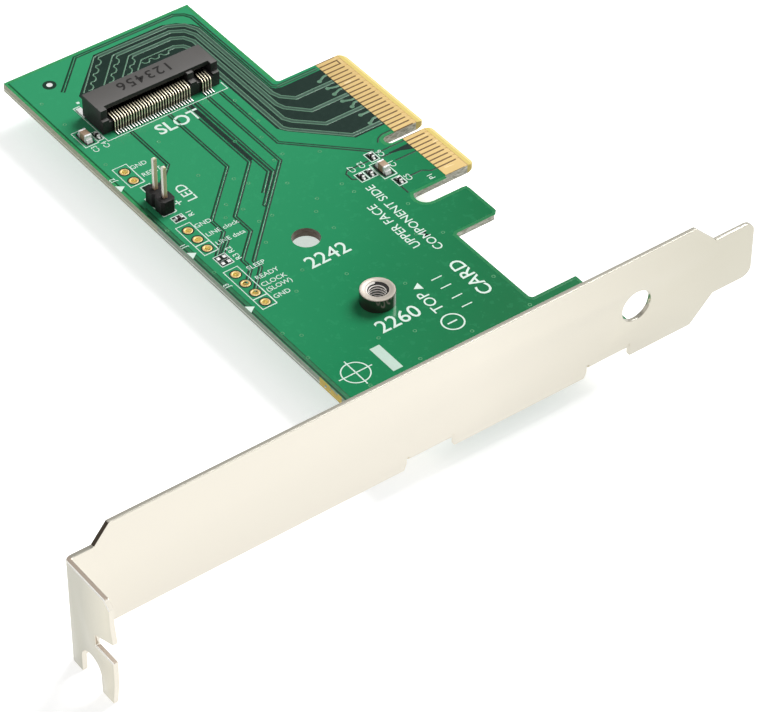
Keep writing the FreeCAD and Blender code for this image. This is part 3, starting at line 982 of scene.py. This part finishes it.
DARK_LINES = [
    [(-4.9, 17.2), (-4.5, 17.8), (-2.9, 17.8), (-2.35, 17.2), (-2.35, 13.0)],
    [(-9.0, 10.2), (-9.0, 7.9), (-9.95, 6.7), (-9.95, 5.7)],
    [(-4.7, 9.7), (-4.7, 5.7)],
    [(-2.85, 11.1), (-2.85, 9.2)],
    [(-1.55, 11.2), (-1.55, 5.7)],
    [(-12.1, 12.75), (-10.1, 12.75)],
    [(1.7, 5.8), (1.7, 7.6), (1.2, 8.7), (0.4, 9.3)],
    [(-56.2, 47.76), (7.0, 47.76)],
]
PAIR_HALF = 0.3  # from the middle of a pair of traces to each of them
PAIRS = [
    [(4.25, 5.8), (4.25, 11.3), (11.3, 18.5), (12.3, 19.1), (37.3, 19.1), (38.6, 19.7),
     (39.3, 21.0), (39.3, 22.0)],
    [(9.0, 5.8), (9.0, 13.0), (12.6, 16.8), (14.0, 17.6), (38.7, 17.6), (40.4, 18.4),
     (41.4, 20.2), (41.4, 27.7)],
    [(13.0, 5.8), (13.0, 12.9), (16.1, 15.9), (17.6, 16.4), (39.9, 16.4), (41.8, 17.3),
     (43.0, 19.3), (43.0, 29.7)],
    [(17.0, 5.8), (17.0, 13.0), (18.8, 14.8), (20.3, 15.3), (40.9, 15.3), (43.1, 16.4),
     (44.45, 18.9), (44.45, 32.2)],
]
OUTER_LANES = [[(39.6, 22.0), (39.6, 27.1), (37.6, 29.1)],
               [(41.7, 27.7), (41.6, 28.2), (37.6, 32.0)],
               [(43.3, 29.7), (43.2, 30.2), (37.6, 35.5)],
               [(44.75, 32.2), (44.6, 32.8), (37.8, 39.2)]]
# start, end, count of bulges, and how far they swing
WAVES = [((39.0, 21.9), (39.0, 27.4), 3, 0.62), ((41.1, 27.7), (37.7, 31.0), 2, 0.55),
         ((42.7, 29.7), (37.7, 34.5), 3, 0.6), ((44.15, 32.2), (37.9, 38.2), 4, 0.6)]
# where along y the short stubs turn towards their contacts, and where they end
STUB_BEND, STUB_END = 6.3, 5.7
# a via, and along x the place of the contact that its stub runs to
STUBS = [(5.0, 7.4, 5.7), (7.5, 7.4, 7.5), (10.0, 7.2, 10.7), (12.0, 7.6, 11.5),
         (14.2, 7.6, 14.7), (16.0, 7.6, 15.6), (18.2, 7.6, 18.9)]
TENTED_VIAS = [
    (-43.3, 34.0), (-33.5, 47.0), (-29.0, 44.9), (-27.0, 46.9), (-21.8, 31.5), (-17.2, 36.3),
    (-14.2, 14.4), (-22.7, 14.2), (-35.2, 14.3), (-43.4, 13.9), (-20.6, 17.7), (-28.7, 25.8),
    (-12.1, 26.8), (-7.4, 26.7), (-5.0, 24.8), (0.7, 26.3), (-8.8, 37.0), (-4.2, 35.0),
    (-0.5, 38.6), (-0.4, 35.3), (2.0, 36.8), (10.3, 36.2), (6.4, 32.3), (6.4, 24.7),
    (6.9, 22.8), (12.2, 23.0), (-4.4, 19.7), (-7.0, 19.3), (4.0, 17.8), (13.8, 26.9),
    (-4.2, 32.6), (15.8, 21.1), (18.0, 21.1), (22.2, 21.1), (4.2, 31.1), (-9.9, 47.2),
    (2.2, 47.4), (20.7, 36.5), (20.9, 46.2), (32.9, 45.9), (39.4, 46.0), (-20.6, 39.8),
    (-43.6, 43.2), (-43.0, 24.3), (-36.1, 36.2), (-38.0, 31.0)]

BORDERS = [
    [(6.0, 47.75), (47.1, 47.75), (47.1, 13.25), (22.45, 13.25)],
    [(-12.5, 5.9), (-12.5, 10.9)] + arc(-14.05, 10.9, 2.15, 44, 180)
    + [(-16.2, 4.85), (-23.2, 4.85), (-23.8, 5.4), (-23.8, 12.6), (-24.2, 13.15),
       (-41.9, 13.15), (-42.65, 12.6), (-42.65, 4.7), (-56.2, 4.7)],
    [(1.35, 5.9)] + arc(0.0, 7.3, 1.3, 0, 180) + [(-1.3, 5.9)]]

# the middle, half the length along x or y, and half the length of the solder bead at each end
LARGE_CHIPS = [(-5.35, 12.52, 1.1, 0, 0.5), (28.15, 45.2, 1.1, 0, 0.5)]
SMALL_CHIPS = [(-8.97, 12.1, 0.56, 0, 0.18), (-1.82, 12.1, 0.56, 0, 0.18),
               (-4.9, 16.25, 0.56, 0, 0.18), (-4.9, 14.65, 0.56, 0, 0.18),
               (27.55, 43.4, 0.56, 0, 0.18), (3.57, 44.43, 0, 0.56, 0.18)]
PAD_BEADS = [[(x, 43.95), (x, 44.45)] for x in (12.2, 11.15)]

BOXES = [
    (13.95, 43.6, 19.15, 46.15), (-5.9, 43.6, 1.85, 46.15), (-21.0, 43.6, -10.75, 46.15),
    (5.2, 43.65, 10.4, 46.0), (10.5, 43.3, 13.1, 45.0), (-7.35, 11.35, -3.3, 13.7),
    (26.1, 44.0, 30.3, 46.4), (26.4, 42.85, 28.7, 43.95), (-10.0, 11.35, -7.95, 12.9),
    (-2.9, 11.35, -0.75, 12.9), (-5.95, 15.5, -3.85, 17.0), (-5.95, 13.9, -3.85, 15.4),
    (2.85, 43.45, 4.3, 45.4), (-9.65, 43.4, -8.4, 45.5), (-8.4, 43.4, -7.1, 45.5)]
LINES = [
    [(-3.4, 43.6), (-3.4, 46.15)], [(-18.45, 43.6), (-18.45, 46.15)],
    [(27.3, 20.2), (25.45, 20.2), (25.45, 42.68), (35.4, 42.68), (35.4, 41.5)],
    [(6.1, 42.4), (7.3, 42.4)], [(6.7, 41.8), (6.7, 43.0)],
    [(-43.1, 43.3), (-37.3, 43.3)], [(-40.2, 40.4), (-40.2, 46.3)]]
TICKS = [[(x, 22.3), (x, 20.4)] for x in (-37.9, -35.5, -32.8, -30.5)]
POINTERS = [[(x - 0.85, 47.95), (x + 0.85, 47.95), (x, 46.75)] for x in (14.75, -4.65, -19.75)]
POINTERS.append([(-31.3, 24.3), (-29.7, 24.3), (-30.5, 25.6)])
SMALL_SQUARE = rectangle(36.0, 41.0, 36.5, 41.5)
BLANK_PANEL = rectangle(-43.2, 37.0, -37.35, 38.75)
CIRCLED_ONE = (-39.7, 25.3)
SIGHT = (-40.2, 43.3)
# words and their middle, then the height of their capitals, their turn and their weight
SIGNALS = [("GND", 17.8, 42.2), ("RESET", 15.3, 41.4), ("GND", 0.45, 42.1),
           ("LINE clock", -2.2, 40.4), ("LINE data", -4.7, 40.6), ("SLEEP", -12.2, 41.2),
           ("READY", -14.75, 41.0), ("CLOCK", -16.5, 41.0), ("(SLOW)", -17.9, 41.0),
           ("GND", -19.75, 41.8)]
HEADER_NUMBERS = [("J1", -2.2, 47.45), ("J2", 17.0, 47.45), ("J3", -13.5, 47.4)]
PART_NUMBERS = [("R1", 3.6, 42.3), ("R2", -7.0, 42.3), ("R3", -8.9, 42.3), ("C1", -5.0, 10.5),
                ("C5", -9.1, 10.5), ("C6", -1.9, 10.5), ("C7", -2.5, 16.4), ("C2", -2.5, 14.6),
                ("C3", 25.0, 45.3), ("C4", 25.0, 43.4), ("P1", -11.0, 7.6)]
LARGE_WORDS = [("LED", 8.0, 40.0, 1.85, 0), ("SLOT", 22.9, 31.2, 2.5, -90, 0.022),
               ("2242", -16.75, 31.3, 2.75, -90, 0.008), ("2260", -34.6, 31.4, 2.75, -90, 0.008),
               ("TOP", -34.3, 25.25, 1.9, 0), ("CARD", -33.3, 17.0, 2.4, 0, 0.012),
               ("UPPER FACE", -17.2, 19.2, 1.6, 0), ("COMPONENT SIDE", -16.4, 16.65, 1.55, 0),
               ("1", *CIRCLED_ONE, 1.8, 0)]
WORDS = LARGE_WORDS + [(*entry, 0.95, -90) for entry in SIGNALS]
WORDS += [(*entry, 0.95, 0) for entry in HEADER_NUMBERS]
WORDS += [(*entry, 1.0, 0) for entry in PART_NUMBERS]


# ---- the pieces, one operator each ----


class CARD_OT_board(bpy.types.Operator):
    """Gives the board its mask, laminate edges and bevel"""

    bl_idname = "card.board"
    bl_label = "Board"

    def execute(self, context):
        paint(NODES["circuit_board"], board_finish())
        return {"FINISHED"}


class CARD_OT_copper(bpy.types.Operator):
    """Adds the traces, their gaps and the area with no copper"""

    bl_idname = "card.copper"
    bl_label = "Copper under the mask"

    def execute(self, context):
        looks = context.scene.card_board
        trace_width = looks.trace_width / MM
        border = ridges(BORDERS, width=0.6, height=0.006)
        settle(border, "mask_on_border", border_finish())
        band = ridges([RIM_BAND], width=0.95, height=0.007)
        groove = ridges([RIM_GROOVE], width=0.3, height=0.012)
        settle(merge([band, groove]), "mask_on_rim", rim_finish())
        bare = plates([BARE_AREA, BARE_BAND, BARE_WEDGE, BARE_SPOT], rise=0.006, sunk=0.02)
        settle(bare, "mask_without_copper", bare_mask_finish())
        # near-black plates: dark mask plus painted shade of the chips
        backs_and_shade = plates([rectangle(*back) for back in CHIP_BACKS_AND_SHADE], rise=0.016, sunk=0.02)
        settle(backs_and_shade, "pad_clearances_and_shade", clearance_and_shade_finish())
        gaps = ridges(LONE_TRACES, width=looks.gap_width / MM, height=0.010)
        dark = ridges(DARK_LINES, width=0.3, height=0.012)
        settle(merge([gaps, dark]), "gaps_beside_traces", gap_finish())
        lines = ridges(LONE_TRACES, width=trace_width, height=0.022)
        settle(lines, "lone_traces", line_finish())
        beds = ridges(PAIRS, width=0.98, height=0.014)
        settle(beds, "mask_between_traces", bed_finish())
        lanes = list(OUTER_LANES)
        for route in PAIRS:
            lanes += [beside(route, PAIR_HALF), beside(route, -PAIR_HALF)]
        lanes += [wave(*bulges) for bulges in WAVES]
        pairs = ridges(lanes, width=trace_width, height=0.024)
        settle(pairs, "paired_traces", trace_finish())
        routes = [[(x, y), (foot, STUB_BEND), (foot, STUB_END)] for x, y, foot in STUBS]
        stubs = ridges(routes, width=0.5, height=0.026)
        settle(stubs, "contact_stubs", trace_finish())
        return {"FINISHED"}


class CARD_OT_vias(bpy.types.Operator):
    """Adds the mask-covered vias"""

    bl_idname = "card.vias"
    bl_label = "Covered vias"

    def execute(self, context):
        dimple = [(0.33, TOP - SUNK), (0.31, TOP + 0.012), (0.22, TOP + 0.016),
                  (0.18, TOP - SUNK)]
        near = turned_at(TENTED_VIAS, dimple, 14)
        far = turned_at(TENTED_VIAS, [(radius, TOP - z) for radius, z in dimple], 14)
        settle(merge([near, far]), "covered_vias", via_finish())
        mound = [(0.40, TOP - SUNK), (0.38, TOP + 0.03), (0.2, TOP + 0.034),
                 (0.12, TOP + 0.012), (0.02, TOP + 0.01), (0.02, TOP - SUNK)]
        vias = turned_at([(x, y) for x, y, _ in STUBS], mound, 18)
        settle(vias, "stub_vias", trace_finish())
        return {"FINISHED"}


class CARD_OT_lands(bpy.types.Operator):
    """Adds the plated header holes and the alignment target"""

    bl_idname = "card.lands"
    bl_label = "Plated holes"

    def execute(self, context):
        plating = [(0.76, 0.0), (0.76, 0.03), (0.70, 0.045), (0.56, 0.05), (0.48, 0.02),
                   (0.46, -0.08)]
        profile = [(radius, TOP + rise) for radius, rise in plating]
        profile += [(radius, -rise) for radius, rise in reversed(plating)]
        profile += [(0.495, 0.0), (0.495, TOP)]
        settle(turned_at(HEADER_HOLES, profile, 28), "plated_holes", gold_finish())
        openings = turned_at(HEADER_HOLES, ring(1.0, 0.74, 0.012), 28)
        target = turned(ring(1.12, 0.49, 0.012), *middle_of("alignment_target"), 32)
        settle(merge([openings, target]), "mask_openings", gap_finish())
        paint(NODES["alignment_target"], tin_finish())
        return {"FINISHED"}


class CARD_OT_printing(bpy.types.Operator):
    """Prints the legend: boxes, lines, pointers and plain words"""

    bl_idname = "card.printing"
    bl_label = "Legend printing"

    def execute(self, context):
        outlines = [rectangle(*box) + [box[:2]] for box in BOXES]
        width = context.scene.card_board.line_width / MM
        lines = ridges(outlines + LINES + TICKS, width=width, height=0.030)
        shapes = plates(POINTERS + [SMALL_SQUARE], rise=INK)
        panel = plates([BLANK_PANEL], rise=INK)
        settle(panel, "blank_panel_printing", panel_finish())
        circle = turned(ring(1.85, 1.6, INK), *CIRCLED_ONE, 40)
        sight = turned(ring(2.3, 2.1, INK), *SIGHT, 44)
        words = [legend(*entry) for entry in WORDS]
        settle(merge([lines, shapes, circle, sight] + words), "legend_printing",
               printing_finish())
        return {"FINISHED"}


class CARD_OT_contacts(bpy.types.Operator):
    """Gives the edge contacts their plating"""

    bl_idname = "card.contacts"
    bl_label = "Edge contacts"

    def execute(self, context):
        paint(NODES["edge_contacts_component_side"], gold_finish())
        paint(NODES["edge_contacts_solder_side"], gold_finish())
        return {"FINISHED"}


class CARD_OT_socket(bpy.types.Operator):
    """Finishes the module socket: housing, contacts and hold-downs"""

    bl_idname = "card.socket"
    bl_label = "Module socket"

    def execute(self, context):
        softened("socket_housing", "housing_moulding", 0.06, plastic_finish())
        softened("socket_front_contacts", "front_contact_springs", 0.03, contact_finish(),
                 segments=1)
        softened("socket_rear_contacts", "rear_contact_springs", 0.03, contact_finish(),
                 segments=1)
        softened("socket_hold_downs", "hold_down_tabs", 0.05, tin_finish())
        _, roof = box_of("socket_housing")
        _, middle_y = middle_of("socket_housing")
        digits = legend("123456", SOCKET_DIGITS_X, middle_y + 0.4, 2.1, 90, weight=0.014,
                        level=roof.z, spread=1.2)
        settle(digits, "socket_digits", digit_shade_finish())
        return {"FINISHED"}


class CARD_OT_chips(bpy.types.Operator):
    """Finishes the chip parts and gives them solder"""

    bl_idname = "card.chips"
    bl_label = "Chip parts"

    def execute(self, context):
        softened("large_capacitor_bodies", "large_chip_bodies", 0.07, ceramic_finish())
        softened("large_capacitor_caps", "large_chip_caps", 0.12, tin_finish(),
                 segments=3)
        softened("small_capacitor_bodies", "small_chip_bodies", 0.03, coating_finish())
        softened("small_capacitor_caps", "small_chip_caps", 0.05, tin_finish())
        softened("resistor_body", "resistor_chip_body", 0.02, coating_finish())
        softened("resistor_caps", "resistor_chip_caps", 0.04, tin_finish())
        softened("bare_solder_pads", "unfitted_pads", 0.03, tin_finish())
        small = ridges(bead_lines(SMALL_CHIPS) + PAD_BEADS, width=0.58, height=0.14)
        large = ridges(bead_lines(LARGE_CHIPS), width=0.75, height=0.6)
        settle(merge([small, large]), "solder_beads", tin_finish())
        return {"FINISHED"}


class CARD_OT_header(bpy.types.Operator):
    """Finishes the header block, its pins and their solder"""

    bl_idname = "card.header"
    bl_label = "Pin header"

    def execute(self, context):
        softened("header_block", "header_moulding", 0.07, header_finish())
        softened("header_pins", "header_posts", 0.05, pin_finish())
        softened("header_solder_joints", "solder_cones", 0.06, tin_finish())
        return {"FINISHED"}


class CARD_OT_standoff(bpy.types.Operator):
    """Turns the standoff with its thread and finishes its screw"""

    bl_idname = "card.standoff"
    bl_label = "Standoff"

    def execute(self, context):
        low, high = box_of("standoff")
        foot, top = low.z, high.z
        outer = (high.x - low.x) / 2
        spigot, root, crest = 2.15, 1.5, 1.26
        pitch = 0.5
        profile = [(spigot, foot), (spigot, TOP), (outer - 0.05, TOP), (outer, TOP + 0.05),
                   (outer, top - 0.12), (outer - 0.12, top), (1.86, top), (1.74, top - 0.08),
                   (root, top - 0.3)]
        z = top - 0.3
        while z - pitch > foot + 0.1:
            profile += [(crest, z - 0.22), (crest, z - 0.28), (root, z - 0.47), (root, z - pitch)]
            z -= pitch
        profile += [(crest, z - 0.1), (crest, foot)]
        settle(turned(profile, *STANDOFF, 48), "threaded_post", polished_finish(),
               ("standoff",))
        softened("standoff_screw", "lower_screw", 0.12, nickel_finish(),
                 segments=3)
        return {"FINISHED"}


class CARD_OT_bracket(bpy.types.Operator):
    """Rounds and plates the slot bracket and its screws"""

    bl_idname = "card.bracket"
    bl_label = "Bracket"

    def execute(self, context):
        edge_round = context.scene.card_metal.edge_round / MM
        softened("bracket", "slot_bracket_sheet", edge_round, nickel_finish(),
                 segments=3, clamped=False)
        softened("board_screws", "board_screw_heads", 0.1, nickel_finish())
        return {"FINISHED"}


# ---- the stage, in metres ----

FLOOR_SIZE = 6.0
FLOOR_GAP = 0.00005
KEY_PLACE = (0.12, -0.56, 0.62)
KEY_SIZE = 0.5
CAMERA_PLACE = (-0.358387, 0.275779, 0.360388)
CAMERA_TURN = (0.83488, 0.00152, -2.20391)
WHITE = (1.0, 1.0, 1.0)
DARK_SIDE = (0.62, -0.45, 0.64)  # the way in which bright metal finds something dark to mirror


def floor_finish():
    """Matt white that looks white and is mirrored white, and that still takes a shadow."""
    white = bpy.context.scene.card_stage.floor
    kit = material("white_floor")
    rays = kit.node("ShaderNodeLightPath").outputs
    glow = Socket(kit, rays["Is Camera Ray"]) * 0.58
    gloss = Socket(kit, rays["Is Glossy Ray"]) * 0.75
    paper = kit.blend(kit.noise(3.0, 1.0), shade(white, 0.99), white)
    matt = kit.node("ShaderNodeBsdfDiffuse", None, {0: paper})
    lit = kit.node("ShaderNodeEmission", None, {0: WHITE, 1: glow})
    seen = kit.node("ShaderNodeAddShader", None, {0: matt.outputs[0], 1: lit.outputs[0]})
    mirrored = kit.node("ShaderNodeEmission", None, {0: WHITE, 1: 1.14})
    floor = kit.node("ShaderNodeMixShader", None, {
        0: gloss, 1: seen.outputs[0], 2: mirrored.outputs[0]})
    kit.node("ShaderNodeOutputMaterial", None, {0: floor.outputs[0]})
    return kit.owner


def studio_sky(strength):
    """Soft light all round, white to the eye, with one dark side for bright metal to mirror."""
    kit = Kit(bpy.data.worlds.new("white_studio"))
    rays = kit.node("ShaderNodeLightPath").outputs
    nearness = kit.number("ShaderNodeVectorMath", {"operation": "DOT_PRODUCT"},
                          {0: kit.coordinates["Generated"], 1: DARK_SIDE}, "Value")
    mirrored = kit.ramp(nearness, [(0.45, (1.0, 1.0, 1.0)), (0.72, (0.5, 0.5, 0.5)),
                                   (0.9, (0.07, 0.07, 0.07)), (1.0, (0.05, 0.05, 0.05))])
    soft = kit.node("ShaderNodeBackground", None, {0: WHITE, 1: strength})
    white = kit.node("ShaderNodeBackground", None, {0: WHITE, 1: 1.0})
    gloss = kit.node("ShaderNodeBackground", None, {0: mirrored, 1: 1.0})
    light = kit.node("ShaderNodeMixShader", None, {
        0: rays["Is Glossy Ray"], 1: soft.outputs[0], 2: gloss.outputs[0]})
    clear_ray = Socket(kit, rays["Is Camera Ray"]) + Socket(kit, rays["Is Transmission Ray"])
    sky = kit.node("ShaderNodeMixShader", None, {
        0: clear_ray, 1: light.outputs[0], 2: white.outputs[0]})
    kit.node("ShaderNodeOutputWorld", None, {0: sky.outputs[0]})
    return kit.owner


class CARD_OT_stage(bpy.types.Operator):
    """Sets the floor, the soft lights and the camera"""

    bl_idname = "card.stage"
    bl_label = "Stage"

    def execute(self, context):
        looks = context.scene.card_stage
        floor_z = BOX_AT_LOAD[0][2] - FLOOR_GAP
        clear()
        bpy.ops.mesh.primitive_plane_add(size=FLOOR_SIZE, location=(0, 0, floor_z))
        floor = bpy.context.object
        floor.name = "floor"
        floor.data.materials.append(floor_finish())
        bpy.ops.object.light_add(type="AREA", location=KEY_PLACE)
        key = bpy.context.object
        key.name = "key_light"
        key.data.shape = "SQUARE"
        key.data.size = KEY_SIZE
        key.data.energy = looks.key
        key.rotation_euler = (-key.location).to_track_quat("-Z", "Y").to_euler()
        context.scene.world = studio_sky(looks.sky)
        bpy.ops.object.camera_add(location=CAMERA_PLACE, rotation=CAMERA_TURN)
        camera = bpy.context.object
        camera.data.sensor_width = 36.0
        camera.data.lens = 175.806
        camera.data.shift_x = 0.02734
        camera.data.shift_y = 0.00872
        camera.data.clip_end = 20.0
        context.scene.camera = camera
        context.scene.view_settings.view_transform = "Standard"
        return {"FINISHED"}


class CARD_PT_panel(bpy.types.Panel):
    """Lists the card's sizes, colours and pieces"""

    bl_idname = "CARD_PT_panel"
    bl_label = "Adapter card"
    bl_space_type = "VIEW_3D"
    bl_region_type = "UI"
    bl_category = "Adapter card"

    def draw(self, context):
        for name, group in GROUPS:
            box = self.layout.box()
            for size_or_colour in group.__annotations__:
                box.prop(getattr(context.scene, name), size_or_colour)
        for piece in PIECES:
            self.layout.operator(piece.bl_idname)


GROUPS = (("card_board", CardBoardLooks), ("card_metal", CardMetalLooks),
          ("card_black", CardBlackLooks), ("card_stage", CardStageLooks))
PIECES = (CARD_OT_board, CARD_OT_copper, CARD_OT_vias, CARD_OT_lands, CARD_OT_printing,
          CARD_OT_contacts, CARD_OT_socket, CARD_OT_chips, CARD_OT_header, CARD_OT_standoff,
          CARD_OT_bracket, CARD_OT_stage)


def register():
    for name, group in GROUPS:
        bpy.utils.register_class(group)
        setattr(bpy.types.Scene, name, bpy.props.PointerProperty(type=group))
    for piece in PIECES:
        bpy.utils.register_class(piece)
    bpy.utils.register_class(CARD_PT_panel)


def unregister():
    bpy.utils.unregister_class(CARD_PT_panel)
    for piece in reversed(PIECES):
        bpy.utils.unregister_class(piece)
    for name, group in reversed(GROUPS):
        delattr(bpy.types.Scene, name)
        bpy.utils.unregister_class(group)


def main():
    register()
    for piece in PIECES:
        getattr(bpy.ops.card, piece.bl_idname.split(".")[1])()
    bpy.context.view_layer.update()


if __name__ == "__main__":
    main()
